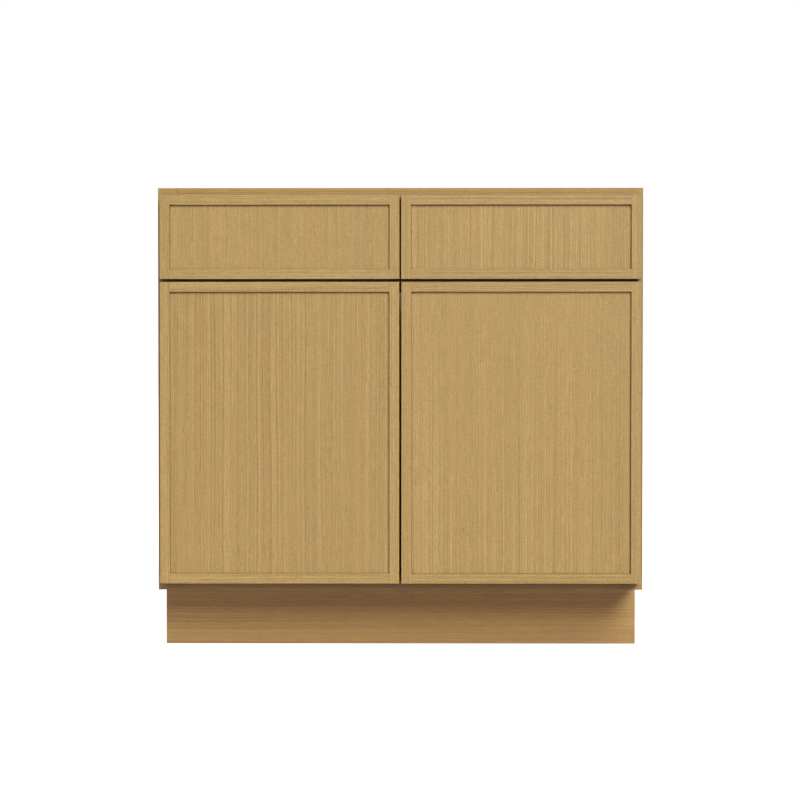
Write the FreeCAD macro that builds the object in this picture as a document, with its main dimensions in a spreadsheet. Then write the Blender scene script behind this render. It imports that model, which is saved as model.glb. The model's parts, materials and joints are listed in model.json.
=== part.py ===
import FreeCAD, Part
import os
from collections import namedtuple
from enum import IntEnum
from types import SimpleNamespace

import Sketcher

# A kitchen base cabinet with a face frame, two drawers over two doors and a toe kick.
# X runs to the right, Y runs to the back, Z runs up. The origin lies on the floor,
# below the middle of the whole cabinet with its fronts. Lengths are in millimetres.

SIZES = {
    # The box as a whole
    "cabinet_width": 914.4,
    "cabinet_height": 876.3,
    "carcass_depth": 609.6,
    "toe_kick_height": 118.0,
    "toe_kick_recess": 76.2,
    # Boards of the box
    "side_thickness": 15.9,
    "bottom_thickness": 12.7,
    "back_thickness": 12.7,
    "toe_board_thickness": 12.7,
    "dado_depth": 6.35,
    "cleat_thickness": 19.05,
    "cleat_overlap": 40.0,
    "hanging_rail_height": 63.5,
    "hanging_rail_thickness": 15.9,
    # Face frame
    "frame_thickness": 19.05,
    "stile_width": 38.1,
    "rail_width": 38.1,
    "mullion_width": 38.1,
    "dowel_radius": 4.0,
    "dowel_length": 40.0,
    # Corner braces under the worktop
    "brace_leg_length": 105.0,
    "brace_nose_width": 16.0,
    "brace_thickness": 12.7,
    "brace_hole_radius": 2.5,
    "brace_hole_inset": 36.0,
    # Shelf and its pins
    "shelf_thickness": 19.05,
    "shelf_rear_gap": 68.0,
    "shelf_end_clearance": 1.5,
    "shelf_height": 400.0,
    "pin_radius": 2.5,
    "pin_hole_depth": 9.5,
    "pin_reach": 11.0,
    "pin_lug_width": 12.0,
    "pin_lug_thickness": 2.0,
    "pin_inset": 58.0,
    "pin_pitch": 32.0,
    # Doors and drawer fronts
    "front_thickness": 19.05,
    "bumper_thickness": 3.0,
    "side_reveal": 7.1,
    "top_reveal": 16.0,
    "bottom_reveal": 14.9,
    "front_gap": 5.5,
    "door_centre_gap": 4.1,
    "drawer_centre_gap": 3.2,
    "drawer_front_height": 157.0,
    "member_width": 18.5,
    "panel_recess": 3.4,
    "groove_depth": 7.0,
    "groove_setback": 9.0,
    "tongue_thickness": 6.0,
    "tongue_clearance": 0.5,
    "hinge_edge_bevel": 1.0,
    "bumper_radius": 4.5,
    "bumper_inset": 9.5,
    # Hinge cups
    "cup_radius": 17.5,
    "cup_depth": 11.5,
    "cup_wall": 1.0,
    "cup_inset": 20.0,
    "cup_rim_width": 1.5,
    "cup_flange_thickness": 0.8,
    "cup_wing_offset": 9.5,
    "cup_wing_width": 12.0,
    "cup_wing_reach": 28.0,
    "cup_screw_reach": 22.5,
    "hinge_end_inset": 90.0,
    # Hinge pins and arms
    "hinge_pin_radius": 1.0,
    "hinge_pin_length": 20.8,
    "hinge_pin_inset": 7.0,
    "hinge_pin_depth": 7.4,
    "hinge_pin_clearance": 0.05,
    "knuckle_radius": 1.9,
    "arm_thickness": 1.6,
    "arm_width": 12.0,
    "arm_knee_reach": 9.5,
    "arm_knee_drop": 1.2,
    "arm_neck_reach": 11.8,
    "arm_base_height": 40.0,
    "arm_base_margin": 1.5,
    "arm_screw_spacing": 26.0,
    # Screws
    "screw_shank_radius": 1.9,
    "screw_head_radius": 3.6,
    "screw_head_height": 1.2,
    "screw_slot_width": 0.9,
    "cup_screw_length": 11.0,
    "arm_screw_length": 16.0,
    "front_screw_length": 22.0,
    "slide_screw_length": 11.0,
    "slide_screw_head_height": 0.9,
    # Drawer boxes
    "slide_width": 12.7,
    "box_lift": 6.0,
    "box_head_clearance": 10.6,
    "box_rear_gap": 66.5,
    "box_thickness": 12.7,
    "box_groove_depth": 6.35,
    "box_bottom_thickness": 6.35,
    "box_bottom_lift": 9.5,
    "front_screw_spacing": 220.0,
    "front_screw_rise": 44.0,
    # Drawer slides
    "slide_height": 45.0,
    "slide_steel_thickness": 1.2,
    "slide_setback": 2.0,
    "slide_rear_gap": 61.5,
    "slide_race_width": 2.4,
    "slide_outer_flange": 8.5,
    "slide_middle_web": 2.6,
    "slide_middle_flange": 8.0,
    "slide_inner_flange": 7.3,
    "slide_running_clearance": 0.05,
    "slide_screw_inset": 50.0,
    "cage_width": 3.0,
    "cage_setback": 40.0,
    "cage_rear_gap": 193.4,
    "bracket_thickness": 1.5,
    "bracket_overlap": 30.0,
    "bracket_foot_width": 15.0,
    "bracket_height": 34.0,
    "bracket_screw_spacing": 20.0,
}

PIN_HOLES_PER_COLUMN = 7
LOWER_PIN_HOLES = 3
TAILS_PER_CORNER = 3

# A dovetail's width at its neck and at its end, as shares of the tails' pitch
TAIL_NECK_SHARE = 0.5
TAIL_END_SHARE = 0.72

# A screw's cross slot, as shares of its head's height and radius
SLOT_DEPTH_SHARE = 0.6
SLOT_REACH_SHARE = 0.6

doc = FreeCAD.newDocument("base_cabinet")
sheet = doc.addObject("Spreadsheet::Sheet", "Sizes")
for row, (alias, number) in enumerate(SIZES.items(), start=1):
    sheet.set(f"A{row}", alias)
    sheet.set(f"B{row}", str(number))
    sheet.setAlias(f"B{row}", alias)
doc.recompute()


class Size:
    """A length that carries its number and the sheet formula that it is bound by."""

    def __init__(self, value, formula):
        self.value = value
        self.formula = formula

    def __add__(self, other):
        other = as_size(other)
        return Size(self.value + other.value, f"({self.formula} + {other.formula})")

    def __sub__(self, other):
        other = as_size(other)
        return Size(self.value - other.value, f"({self.formula} - {other.formula})")

    def __mul__(self, factor):
        return Size(self.value * factor, f"({self.formula} * {factor})")

    def __truediv__(self, divisor):
        return Size(self.value / divisor, f"({self.formula} / {divisor})")

    def __rsub__(self, other):
        return as_size(other) - self

    def __neg__(self):
        return 0 - self

    __radd__ = __add__
    __rmul__ = __mul__


def as_size(length):
    """Give a Size for a Size or for the plain number zero."""
    if isinstance(length, Size):
        return length
    return Size(float(length), str(float(length)))


size = SimpleNamespace(**{alias: Size(number, f"Sizes.{alias}") for alias, number in SIZES.items()})

# Places that several pieces share
half_width = size.cabinet_width / 2
frame_y = (size.front_thickness + size.bumper_thickness - size.carcass_depth) / 2
frame_back = frame_y + size.frame_thickness
back_y = frame_y + size.carcass_depth
back_panel_y = back_y - size.back_thickness
hanging_rail_y = back_panel_y - size.hanging_rail_thickness
side_inner = half_width - size.side_thickness
bottom_top = size.toe_kick_height + size.rail_width
bottom_z = bottom_top - size.bottom_thickness
toe_board_y = frame_y + size.toe_kick_recess
toe_board_back = toe_board_y + size.toe_board_thickness
stile_inner = half_width - size.stile_width

# Heights of the fronts and of the rails behind their gaps
front_y = frame_y - size.bumper_thickness - size.front_thickness
front_back = frame_y - size.bumper_thickness
door_width = half_width - size.side_reveal - size.door_centre_gap / 2
drawer_front_width = half_width - size.side_reveal - size.drawer_centre_gap / 2
drawer_front_z = size.cabinet_height - size.top_reveal - size.drawer_front_height
door_z = size.toe_kick_height + size.bottom_reveal
door_height = drawer_front_z - size.front_gap - door_z
mid_rail_z = drawer_front_z - size.front_gap / 2 - size.rail_width / 2
mid_rail_top = mid_rail_z + size.rail_width
top_rail_z = size.cabinet_height - size.rail_width

# The left drawer box and its slides
opening_left = -stile_inner
opening_right = -size.mullion_width / 2
drawer_centre = (opening_left + opening_right) / 2
box_x = opening_left + size.slide_width
box_width = opening_right - opening_left - 2 * size.slide_width
box_depth = back_panel_y - front_back - size.box_rear_gap
box_z = mid_rail_top + size.box_lift
box_height = top_rail_z - size.box_head_clearance - box_z
slide_z = box_z + box_height / 2
slide_y = frame_y + size.slide_setback
slide_length = back_panel_y - slide_y - size.slide_rear_gap
cage_length = slide_length - size.cage_setback - size.cage_rear_gap

# Half the heights of a slide's three members, which run inside one another
outer_half = size.slide_height / 2
middle_half = outer_half - size.slide_steel_thickness - size.slide_race_width
inner_half = middle_half - size.slide_steel_thickness - size.slide_race_width

# The shelf and the pins under it
shelf_y = frame_back + size.shelf_end_clearance
shelf_depth = back_panel_y - shelf_y - size.shelf_rear_gap
pin_depths = [shelf_y + size.pin_inset, shelf_y + shelf_depth - size.pin_inset]
pin_height = size.shelf_height - size.pin_lug_thickness - size.pin_radius

# The left door and its hinges
front_x = -half_width + size.side_reveal
pin_x = front_x + size.hinge_pin_inset
pin_y = front_back - size.hinge_pin_depth
cup_x = front_x + size.cup_inset
stile_reach = -stile_inner - pin_x
hinge_heights = [door_z + size.hinge_end_inset, door_z + door_height - size.hinge_end_inset]

# Dowels of the face frame: two where a rail meets a stile, two at each end of the mullion
rail_bottoms = [size.toe_kick_height, mid_rail_z, top_rail_z]
dowel_rises = [size.rail_width / 4, size.rail_width * 3 / 4]
mullion_dowel_spread = [-size.mullion_width / 4, size.mullion_width / 4]
frame_middle = size.frame_thickness / 2
frame_middle_y = frame_y + frame_middle

# Screws of the hinges
cup_screw_spots = [
    (cup_x + size.cup_wing_offset, height + side * size.cup_screw_reach)
    for height in hinge_heights
    for side in (-1, 1)
]
cup_screw_grip = size.cup_screw_length - size.cup_flange_thickness
arm_screw_spots = [
    (-stile_inner + size.arm_thickness, frame_middle_y, height + side * size.arm_screw_spacing / 2)
    for height in hinge_heights
    for side in (-1, 1)
]
arm_screw_grip = size.arm_screw_length - size.arm_thickness

# Screws of the left drawer and its slides. The foot of each rear bracket stands outside the
# drawer's opening, so its screws lie beyond the opening's edge.
show_front_screw_spots = [
    (drawer_centre + across * size.front_screw_spacing / 2, slide_z + up * size.front_screw_rise / 2)
    for across in (-1, 1)
    for up in (-1, 1)
]
front_screw_grip = size.front_screw_length - size.box_thickness
slide_screw_grip = size.slide_screw_length - size.slide_steel_thickness
inner_screw_depths = [slide_y + size.slide_screw_inset, slide_y + slide_length - size.slide_screw_inset]
bracket_screw_reach = size.bracket_thickness + size.bracket_foot_width / 2
bracket_screw_grip = size.slide_screw_length - size.bracket_thickness
bracket_screw_heights = [slide_z + side * size.bracket_screw_spacing / 2 for side in (-1, 1)]

Circle = namedtuple("Circle", "x y radius")


class PointNumber(IntEnum):
    """How a sketch numbers an element's points."""

    START = 1
    END = 2
    CENTRE = 3


# A sketch's own origin: the element, and its point
ORIGIN = (-1, PointNumber.START)


def bind(thing, path, length):
    """Tie one property to the sheet."""
    thing.setExpression(path, as_size(length).formula)


def rectangle(left, low, right, high):
    """The corners of an upright rectangle."""
    return [(left, low), (right, low), (right, high), (left, high)]


def centred(middle_x, middle_y, width, height):
    """The corners of a rectangle about its middle."""
    return rectangle(middle_x - width / 2, middle_y - height / 2, middle_x + width / 2, middle_y + height / 2)


def hold_point(sketch, element, point_number, x, y):
    """Dimension one point of a sketch from the sketch's origin."""
    for direction, length in (("DistanceX", x), ("DistanceY", y)):
        rule = Sketcher.Constraint(direction, *ORIGIN, element, point_number, as_size(length).value)
        bind(sketch, f"Constraints[{sketch.addConstraint(rule)}]", length)


def draw_polygon(sketch, corners):
    """Draw a closed outline of straight lines."""
    first = sketch.GeometryCount
    points = [FreeCAD.Vector(as_size(x).value, as_size(y).value, 0) for x, y in corners]
    for start, end in zip(points, points[1:] + points[:1]):
        sketch.addGeometry(Part.LineSegment(start, end), False)
    for index, (x, y) in enumerate(corners):
        following = first + (index + 1) % len(corners)
        ends = (first + index, PointNumber.END, following, PointNumber.START)
        sketch.addConstraint(Sketcher.Constraint("Coincident", *ends))
        hold_point(sketch, first + index, PointNumber.START, x, y)


def draw_circle(sketch, circle):
    """Draw a circle."""
    centre = FreeCAD.Vector(as_size(circle.x).value, as_size(circle.y).value, 0)
    radius = as_size(circle.radius).value
    upright = FreeCAD.Vector(0, 0, 1)
    element = sketch.addGeometry(Part.Circle(centre, upright, radius), False)
    rule = Sketcher.Constraint("Radius", element, radius)
    bind(sketch, f"Constraints[{sketch.addConstraint(rule)}]", circle.radius)
    hold_point(sketch, element, PointNumber.CENTRE, circle.x, circle.y)


def origin_feature(body, role):
    """One of a body's own origin planes or axes."""
    return next(feature for feature in body.Origin.OriginFeatures if feature.Role == role)


def new_sketch(body, plane, outlines, offset):
    """A sketch on one of the body's origin planes, moved along that plane's own axis."""
    sketch = body.newObject("Sketcher::SketchObject", "Sketch")
    sketch.AttachmentSupport = [(origin_feature(body, f"{plane}_Plane"), "")]
    sketch.MapMode = "FlatFace"
    # The XZ plane faces the front, so a move to the back is a negative one.
    bind(sketch, "AttachmentOffset.Base.z", -as_size(offset) if plane == "XZ" else offset)
    for outline in outlines:
        if isinstance(outline, Circle):
            draw_circle(sketch, outline)
        else:
            draw_polygon(sketch, outline)
    return sketch


def place(thing, x, y, z, rotation=None):
    """Put a piece at its place, and turn it first where it is made lying another way."""
    if rotation:
        thing.Placement = FreeCAD.Placement(FreeCAD.Vector(0, 0, 0), rotation)
    bind(thing, "Placement.Base.x", x)
    bind(thing, "Placement.Base.y", y)
    bind(thing, "Placement.Base.z", z)


def new_body(label, x=0, y=0, z=0):
    """An empty body at its place."""
    body = doc.addObject("PartDesign::Body", label)
    body.Label = label
    place(body, x, y, z)
    return body


def pad(body, plane, outlines, start, length):
    """Add material from start, over length, along the positive axis that crosses the plane."""
    sketch = new_sketch(body, plane, outlines, start)
    feature = body.newObject("PartDesign::Pad", "Pad")
    feature.Profile = sketch
    feature.Reversed = plane == "XZ"
    bind(feature, "Length", length)
    doc.recompute()
    return feature


def pocket(body, plane, outlines, start, length):
    """Cut material from start, over length, along the positive axis that crosses the plane."""
    before = body.Shape.Volume
    sketch = new_sketch(body, plane, outlines, start)
    feature = body.newObject("PartDesign::Pocket", "Pocket")
    feature.Profile = sketch
    feature.Reversed = plane != "XZ"
    bind(feature, "Length", length)
    doc.recompute()
    if body.Shape.Volume >= before:
        raise ValueError(f"a pocket of {body.Label} cuts nothing")
    return feature


def board(label, corner, width, depth, height):
    """A plain rectangular board, placed by its front lower left corner."""
    body = new_body(label, *corner)
    pad(body, "XY", [rectangle(0, 0, width, depth)], 0, height)
    return body


def group(label, members):
    """Several separate pieces under one name."""
    compound = doc.addObject("Part::Compound", label)
    compound.Label = label
    compound.Links = members
    return compound


def copies(label, piece, places, rotation=None):
    """The same piece at several places."""
    links = []
    for number, spot in enumerate(places, start=1):
        link = doc.addObject("App::Link", f"{label}_{number}")
        link.LinkedObject = piece
        place(link, *spot, rotation)
        links.append(link)
    return group(label, links)


def mirrored(label, source, middle=0):
    """The mirror image of a piece, left for right, about an upright plane."""
    mirror = doc.addObject("Part::Mirroring", label)
    mirror.Label = label
    mirror.Source = source
    mirror.Normal = FreeCAD.Vector(1, 0, 0)
    bind(mirror, "Base.x", middle)
    return mirror


def mirrored_pair(label, piece, middle=0):
    """A piece and its mirror image under one name."""
    return group(label, [piece, mirrored(f"{label}_mirror", piece, middle)])


# Turns for a screw that is made standing, head up
HEAD_TO_FRONT = FreeCAD.Rotation(FreeCAD.Vector(1, 0, 0), 90)
HEAD_TO_BACK = FreeCAD.Rotation(FreeCAD.Vector(1, 0, 0), -90)
HEAD_TO_RIGHT = FreeCAD.Rotation(FreeCAD.Vector(0, 1, 0), 90)
HEAD_TO_LEFT = FreeCAD.Rotation(FreeCAD.Vector(0, 1, 0), -90)


def side_panel():
    """The left side, notched for the toe kick and grooved for the bottom and the back."""
    depth = back_y - frame_back
    notch = toe_board_back - frame_back
    body = new_body("left_side_panel", -half_width, frame_back, 0)
    outline = [
        (notch, 0),
        (depth, 0),
        (depth, size.cabinet_height),
        (0, size.cabinet_height),
        (0, size.toe_kick_height),
        (notch, size.toe_kick_height),
    ]
    pad(body, "YZ", [outline], 0, size.side_thickness)
    groove_x = size.side_thickness - size.dado_depth
    bottom_dado = rectangle(0, bottom_z, back_panel_y - frame_back, bottom_top)
    pocket(body, "YZ", [bottom_dado], groove_x, size.dado_depth)
    back_rabbet = rectangle(back_panel_y - frame_back, bottom_z, depth, size.cabinet_height)
    pocket(body, "YZ", [back_rabbet], groove_x, size.dado_depth)
    first_hole_z = pin_height - LOWER_PIN_HOLES * size.pin_pitch
    holes = [Circle(y - frame_back, first_hole_z, size.pin_radius) for y in pin_depths]
    drilled = pocket(body, "YZ", holes, size.side_thickness - size.pin_hole_depth, size.pin_hole_depth)
    pattern = body.newObject("PartDesign::LinearPattern", "PinHoles")
    pattern.Originals = [drilled]
    pattern.Direction = (origin_feature(body, "Z_Axis"), [""])
    bind(pattern, "Length", (PIN_HOLES_PER_COLUMN - 1) * size.pin_pitch)
    pattern.Occurrences = PIN_HOLES_PER_COLUMN
    body.Tip = pattern
    return body


def inner_board(label, y, z, depth, height, let_in=0):
    """A board across the box, between the sides or let into their grooves."""
    left = -side_inner - let_in
    return board(label, (left, y, z), 2 * (side_inner + let_in), depth, height)


def back_panel():
    """The back, let into the sides' rabbets and drilled for the slides' rear brackets."""
    height = size.cabinet_height - bottom_z
    body = inner_board("back_panel", back_panel_y, bottom_z, size.back_thickness, height, size.dado_depth)
    left_edge = -side_inner - size.dado_depth
    left_spots = [opening_left - bracket_screw_reach, opening_right + bracket_screw_reach]
    spots = left_spots + [-x for x in left_spots]
    holes = [
        Circle(x - left_edge, z - bottom_z, size.screw_shank_radius)
        for x in spots
        for z in bracket_screw_heights
    ]
    pocket(body, "XZ", holes, 0, bracket_screw_grip)
    return body


def shelf_pin():
    """One shelf pin: a round peg for its hole with a flat lug that the shelf lies on."""
    body = new_body("shelf_pin")
    peg_length = size.pin_hole_depth + size.pin_reach
    pad(body, "YZ", [Circle(0, 0, size.pin_radius)], -size.pin_hole_depth, peg_length)
    half_lug = size.pin_lug_width / 2
    lug = rectangle(-half_lug, 0, half_lug, size.pin_radius + size.pin_lug_thickness)
    pad(body, "YZ", [lug], 0, size.pin_reach)
    return body


def shelf_pins():
    """The four shelf pins, two in each side."""
    left = copies("left_shelf_pins", shelf_pin(), [(-side_inner, y, pin_height) for y in pin_depths])
    return mirrored_pair("shelf_pins", left)


def corner_braces():
    """Four three-cornered braces that stiffen the top and take the worktop's screws."""
    leg = size.brace_leg_length
    nose = size.brace_nose_width
    brace = new_body("corner_brace")
    outline = [(0, 0), (leg, 0), (leg, nose), (nose, leg), (0, leg)]
    pad(brace, "XY", [outline], 0, size.brace_thickness)
    hole = Circle(size.brace_hole_inset, size.brace_hole_inset, size.brace_hole_radius)
    pocket(brace, "XY", [hole], 0, size.brace_thickness)
    upright = FreeCAD.Vector(0, 0, 1)
    low = size.cabinet_height - size.brace_thickness
    front_brace = doc.addObject("App::Link", "front_brace")
    front_brace.LinkedObject = brace
    place(front_brace, -side_inner, frame_back, low)
    rear_brace = doc.addObject("App::Link", "rear_brace")
    rear_brace.LinkedObject = brace
    place(rear_brace, -side_inner, hanging_rail_y, low, FreeCAD.Rotation(upright, -90))
    return mirrored_pair("corner_braces", group("left_corner_braces", [front_brace, rear_brace]))


def dowel_holes(body, plane, spots, start):
    """Drill a face-frame member for half the length of its dowels."""
    holes = [Circle(x, y, size.dowel_radius) for x, y in spots]
    pocket(body, plane, holes, start, size.dowel_length / 2)


def stile():
    """The left upright of the face frame."""
    height = size.cabinet_height - size.toe_kick_height
    body = board(
        "left_stile",
        (-half_width, frame_y, size.toe_kick_height),
        size.stile_width,
        size.frame_thickness,
        height,
    )
    heights = [low + rise - size.toe_kick_height for low in rail_bottoms for rise in dowel_rises]
    dowel_holes(body, "YZ", [(frame_middle, z) for z in heights], size.stile_width - size.dowel_length / 2)
    return body


def frame_rail(label, z, mullion_holes_from=None):
    """One rail of the face frame, with dowel holes in its ends and, if given, for the mullion."""
    length = 2 * stile_inner
    body = board(label, (-stile_inner, frame_y, z), length, size.frame_thickness, size.rail_width)
    spots = [(frame_middle, rise) for rise in dowel_rises]
    dowel_holes(body, "YZ", spots, 0)
    dowel_holes(body, "YZ", spots, length - size.dowel_length / 2)
    if mullion_holes_from is not None:
        middle = [(stile_inner + side, frame_middle) for side in mullion_dowel_spread]
        dowel_holes(body, "XY", middle, mullion_holes_from)
    return body


def drawer_mullion():
    """The short upright between the two drawers."""
    height = top_rail_z - mid_rail_top
    body = board(
        "drawer_mullion",
        (-size.mullion_width / 2, frame_y, mid_rail_top),
        size.mullion_width,
        size.frame_thickness,
        height,
    )
    spots = [(size.mullion_width / 2 + side, frame_middle) for side in mullion_dowel_spread]
    dowel_holes(body, "XY", spots, 0)
    dowel_holes(body, "XY", spots, height - size.dowel_length / 2)
    slide_hole = [Circle(frame_middle, slide_z - mid_rail_top, size.screw_shank_radius)]
    pocket(body, "YZ", slide_hole, 0, slide_screw_grip)
    pocket(body, "YZ", slide_hole, size.mullion_width - slide_screw_grip, slide_screw_grip)
    return body


def frame_dowels():
    """The dowels that join the face frame: two at each joint."""
    dowel = new_body("frame_dowel")
    pad(dowel, "XY", [Circle(0, 0, size.dowel_radius)], -size.dowel_length / 2, size.dowel_length)
    rail_spots = [(-stile_inner, frame_middle_y, low + rise) for low in rail_bottoms for rise in dowel_rises]
    left = copies("left_rail_dowels", dowel, rail_spots, HEAD_TO_RIGHT)
    joints = [mid_rail_top, top_rail_z]
    mullion_spots = [(x, frame_middle_y, z) for z in joints for x in mullion_dowel_spread]
    mullion = copies("mullion_dowels", dowel, mullion_spots)
    return group("frame_dowels", [left, mirrored("right_rail_dowels", left), mullion])


def front_stile(label, x, z, height):
    """An upright member of a door or drawer front, grooved on its right edge."""
    width = size.member_width
    body = board(label, (x, front_y, z), width, size.front_thickness, height)
    low = size.groove_setback
    groove = rectangle(width - size.groove_depth, low, width, low + size.tongue_thickness)
    pocket(body, "XY", [groove], 0, height)
    return body


def front_rails(label, z, front_width, height):
    """The two level members of a front, with stub tenons that enter the stiles' grooves."""
    length = front_width - 2 * size.member_width
    low = size.groove_setback
    high = low + size.tongue_thickness
    body = new_body(f"{label}_lower", front_x + size.member_width, front_y, z)
    pad(body, "XY", [rectangle(0, 0, length, size.front_thickness)], 0, size.member_width)
    groove_floor = size.member_width - size.groove_depth
    tenons = rectangle(-size.groove_depth, low, length + size.groove_depth, high)
    pad(body, "XY", [tenons], 0, groove_floor)
    pocket(body, "XY", [rectangle(0, low, length, high)], groove_floor, size.groove_depth)
    upper = doc.addObject("Part::Mirroring", f"{label}_upper")
    upper.Source = body
    upper.Normal = FreeCAD.Vector(0, 0, 1)
    bind(upper, "Base.z", z + height / 2)
    return group(label, [body, upper])


def front_panel(label, z, front_width, height):
    """The flat panel of a front: set back from the face, flush at the back, tongued all round."""
    width = front_width - 2 * size.member_width
    inner_height = height - 2 * size.member_width
    tongue = size.groove_depth - size.tongue_clearance
    body = new_body(label, front_x + size.member_width, front_y, z + size.member_width)
    core_depth = size.front_thickness - size.panel_recess
    pad(body, "XZ", [rectangle(0, 0, width, inner_height)], size.panel_recess, core_depth)
    tongue_outline = rectangle(-tongue, -tongue, width + tongue, inner_height + tongue)
    pad(body, "XZ", [tongue_outline], size.groove_setback, size.tongue_thickness)
    return body


def bore_for_cups(body, x, z):
    """Bore a door piece for its hinge cups. The piece's own corner is at x and z."""
    circles = [Circle(cup_x - x, height - z, size.cup_radius) for height in hinge_heights]
    pocket(body, "XZ", circles, size.front_thickness - size.cup_depth, size.cup_depth)


def bevel_hinge_edge(body):
    """Bevel the door's outer back edge, which swings past the face frame."""
    back = size.front_thickness
    corner = [(0, back - size.hinge_edge_bevel), (size.hinge_edge_bevel, back), (0, back)]
    pocket(body, "XY", [corner], 0, door_height)


def bumpers(label, spots):
    """Round soft pads on the back of a front, which meet the face frame."""
    pad_piece = new_body(f"{label}_pad")
    pad(pad_piece, "XZ", [Circle(0, 0, size.bumper_radius)], 0, size.bumper_thickness)
    return copies(label, pad_piece, [(x, front_back, z) for x, z in spots])


def screw(label, length, head_height=size.screw_head_height):
    """A flat-headed screw with a cross slot, standing on its shank under the origin."""
    body = new_body(label)
    pad(body, "XY", [Circle(0, 0, size.screw_shank_radius)], -length, length)
    pad(body, "XY", [Circle(0, 0, size.screw_head_radius)], 0, head_height)
    near = size.screw_slot_width / 2
    far = size.screw_head_radius * SLOT_REACH_SHARE
    cross = [
        (far, -near),
        (far, near),
        (near, near),
        (near, far),
        (-near, far),
        (-near, near),
        (-far, near),
        (-far, -near),
        (-near, -near),
        (-near, -far),
        (near, -far),
        (near, -near),
    ]
    slot_depth = head_height * SLOT_DEPTH_SHARE
    pocket(body, "XY", [cross], head_height - slot_depth, slot_depth)
    return body


def door():
    """The left door: four frame members and a panel, bored for the hinges."""
    hinge_stile = front_stile("left_door_hinge_stile", front_x, door_z, door_height)
    bore_for_cups(hinge_stile, front_x, door_z)
    bevel_hinge_edge(hinge_stile)
    plain_stile = front_stile("left_door_plain_stile", front_x, door_z, door_height)
    meeting_stile = mirrored("left_door_meeting_stile", plain_stile, front_x + door_width / 2)
    panel = front_panel("left_door_panel", door_z, door_width, door_height)
    panel_x = front_x + size.member_width
    panel_z = door_z + size.member_width
    bore_for_cups(panel, panel_x, panel_z)
    pilots = [Circle(x - panel_x, z - panel_z, size.screw_shank_radius) for x, z in cup_screw_spots]
    pocket(panel, "XZ", pilots, size.front_thickness - cup_screw_grip, cup_screw_grip)
    far_x = front_x + door_width - size.bumper_inset
    low_z = door_z + size.bumper_inset
    high_z = door_z + door_height - size.bumper_inset
    return [
        group("left_door_stiles", [hinge_stile, meeting_stile]),
        front_rails("left_door_rails", door_z, door_width, door_height),
        panel,
        bumpers("left_door_bumpers", [(far_x, low_z), (far_x, high_z)]),
    ]


def hinge_cup():
    """One hinge cup: a round steel pan with a rim, two screw wings and holes for the pin."""
    body = new_body("hinge_cup")
    flange = size.cup_flange_thickness
    depth = size.cup_depth
    pad(body, "XZ", [Circle(0, 0, size.cup_radius)], -depth, depth)
    pad(body, "XZ", [Circle(0, 0, size.cup_radius + size.cup_rim_width)], 0, flange)
    wings = centred(size.cup_wing_offset, 0, size.cup_wing_width, 2 * size.cup_wing_reach)
    pad(body, "XZ", [wings], 0, flange)
    hollow = Circle(0, 0, size.cup_radius - size.cup_wall)
    pocket(body, "XZ", [hollow], size.cup_wall - depth, depth + flange - size.cup_wall)
    holes = [
        Circle(size.cup_wing_offset, side * size.cup_screw_reach, size.screw_shank_radius) for side in (-1, 1)
    ]
    pocket(body, "XZ", holes, 0, flange)
    bearing = Circle(pin_x - cup_x, -size.hinge_pin_depth, size.hinge_pin_radius + size.hinge_pin_clearance)
    bearing_length = size.hinge_pin_length + 2 * size.hinge_pin_clearance
    pocket(body, "XY", [bearing], -bearing_length / 2, bearing_length)
    return body


def hinge_arm():
    """One hinge arm: a knuckle on the pin, a bent neck round the stile's corner and a base plate."""
    body = new_body("hinge_arm")
    half = size.arm_thickness / 2
    gap_y = size.hinge_pin_depth + size.bumper_thickness / 2
    base_front = size.hinge_pin_depth + size.bumper_thickness + size.arm_base_margin
    base_back = base_front + size.frame_thickness - 2 * size.arm_base_margin
    knee = (size.arm_knee_reach, -size.arm_knee_drop)
    neck = (size.arm_neck_reach, gap_y)
    elbow = (stile_reach + half, gap_y)
    outer_side = [(x - half, y + half) for x, y in (knee, neck, elbow)]
    inner_side = [(x + half, y - half) for x, y in (elbow, neck, knee)]
    strip = [
        (0, half),
        *outer_side,
        (stile_reach, base_back),
        (stile_reach + size.arm_thickness, base_back),
        *inner_side,
        (0, -half),
    ]
    low = -size.arm_width / 2
    pad(body, "XY", [strip], low, size.arm_width)
    pad(body, "XY", [Circle(0, 0, size.knuckle_radius)], low, size.arm_width)
    half_base = size.arm_base_height / 2
    base = rectangle(base_front, -half_base, base_back, half_base)
    pad(body, "YZ", [base], stile_reach, size.arm_thickness)
    screw_y = (base_front + base_back) / 2
    holes = [Circle(screw_y, side * size.arm_screw_spacing / 2, size.screw_shank_radius) for side in (-1, 1)]
    pocket(body, "YZ", holes, stile_reach, size.arm_thickness)
    pocket(body, "XY", [Circle(0, 0, size.hinge_pin_radius)], low, size.arm_width)
    return body


def drill_stile_edge(body):
    """Drill the left stile's inner edge for the screws of the hinge arms and of the drawer slide."""
    radius = size.screw_shank_radius
    arm_holes = [Circle(frame_middle, z - size.toe_kick_height, radius) for _, _, z in arm_screw_spots]
    pocket(body, "YZ", arm_holes, size.stile_width - arm_screw_grip, arm_screw_grip)
    slide_hole = Circle(frame_middle, slide_z - size.toe_kick_height, radius)
    pocket(body, "YZ", [slide_hole], size.stile_width - slide_screw_grip, slide_screw_grip)


def door_hinge_parts():
    """What the left door carries of its two hinges: the cups and their screws."""
    cup_screw = screw("cup_screw", size.cup_screw_length)
    screw_y = front_back + size.cup_flange_thickness
    return [
        copies("left_hinge_cups", hinge_cup(), [(cup_x, front_back, z) for z in hinge_heights]),
        copies("left_cup_screws", cup_screw, [(x, screw_y, z) for x, z in cup_screw_spots], HEAD_TO_BACK),
    ]


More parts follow.
